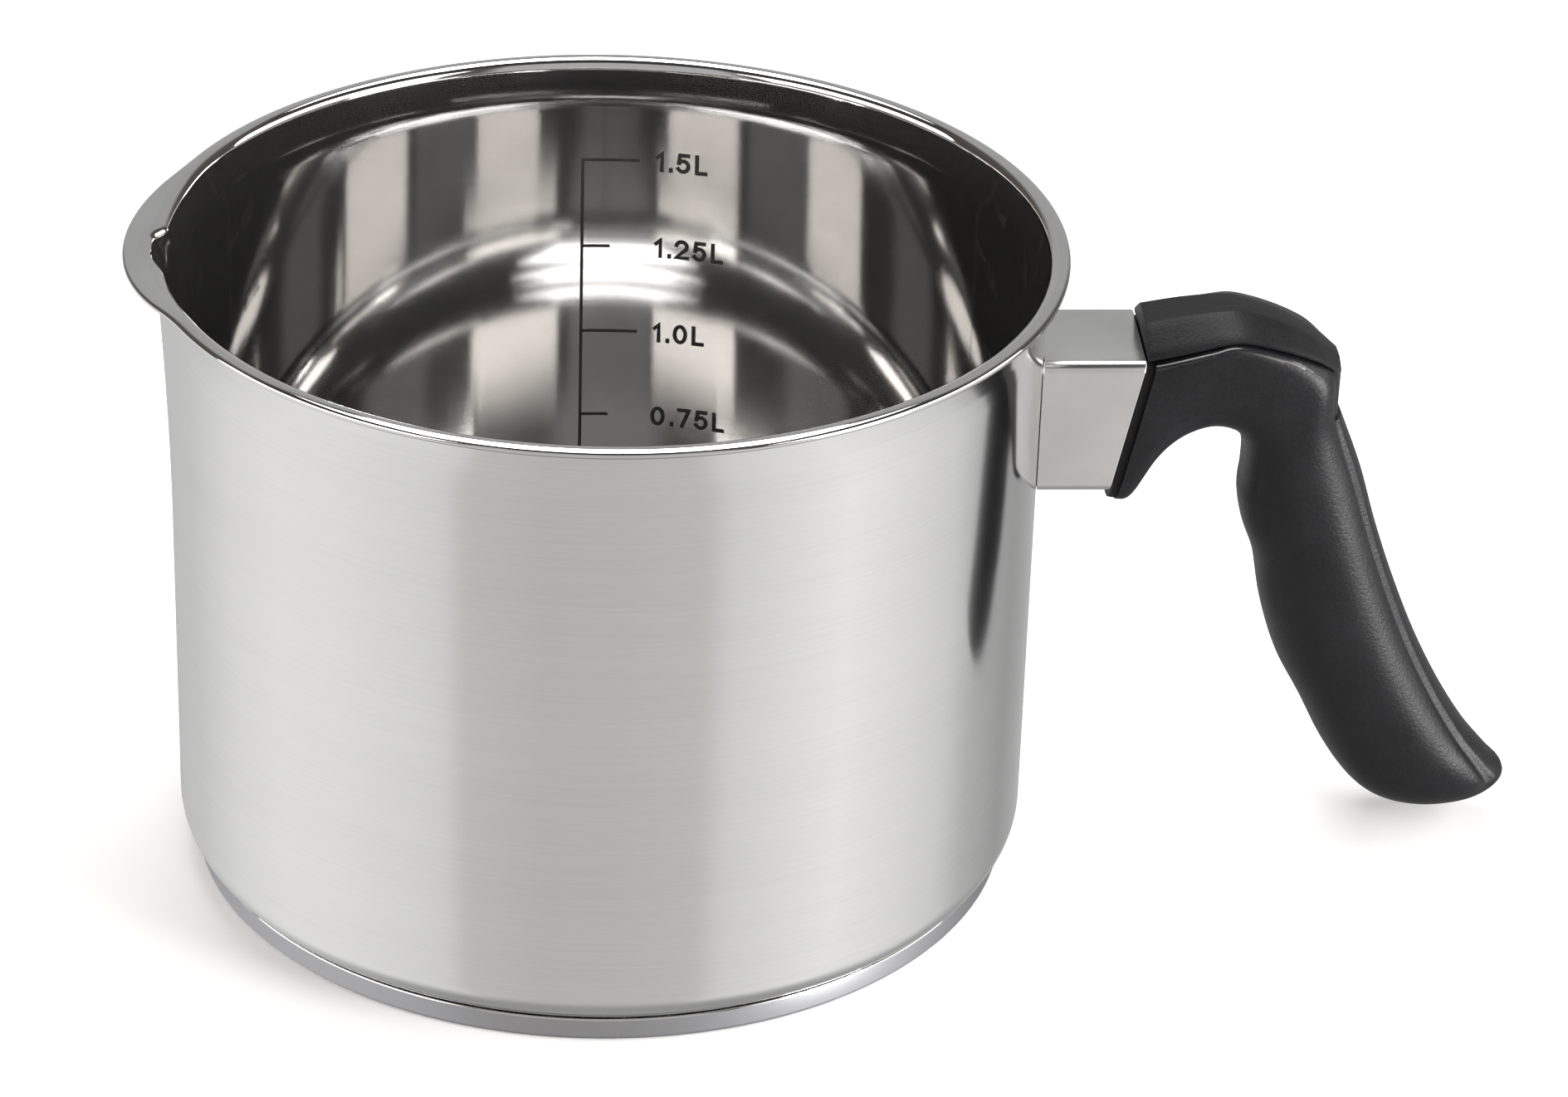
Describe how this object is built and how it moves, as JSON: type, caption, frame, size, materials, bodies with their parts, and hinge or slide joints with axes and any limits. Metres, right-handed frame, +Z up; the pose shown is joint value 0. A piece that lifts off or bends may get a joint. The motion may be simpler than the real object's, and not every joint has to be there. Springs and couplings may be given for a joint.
{
  "type": "candle melting pot",
  "caption": "Straight-sided stainless steel melting pot with a flared lip, pouring spout, capsule base and a black side handle set on a steel ferrule.",
  "frame": {"origin": "centre of the flat underside of the base, which the pot rests on", "axes": "+Z up along the pot's axis; +X towards the handle; the spout points along -X; the part is mirror symmetric about the XZ plane"},
  "size_m": [0.2315, 0.1478, 0.1087],
  "materials": {
    "pot_steel": "satin polished outside with fine circumferential grain, mirror polished inside",
    "base_steel": "satin, fine circumferential grain",
    "base_aluminium": "as sawn, hidden inside the base",
    "ferrule_steel": "polished",
    "joint_steel": "bright zinc plated, hidden inside the handle joint",
    "handle_phenolic": "black moulded phenolic, satin with a fine grain",
    "cover_phenolic": "black moulded phenolic, satin with a fine grain"
  },
  "bodies": {
    "root": {"pot_body": "pot_steel", "base_core": "base_aluminium", "base_cap": "base_steel", "handle_ferrule": "ferrule_steel", "handle_lug": "joint_steel", "weld_nut": "joint_steel", "handle_screw": "joint_steel", "flat_washer": "joint_steel", "lock_washer": "joint_steel", "handle_grip": "handle_phenolic", "handle_cover": "cover_phenolic"}
  },
  "joints": []
}
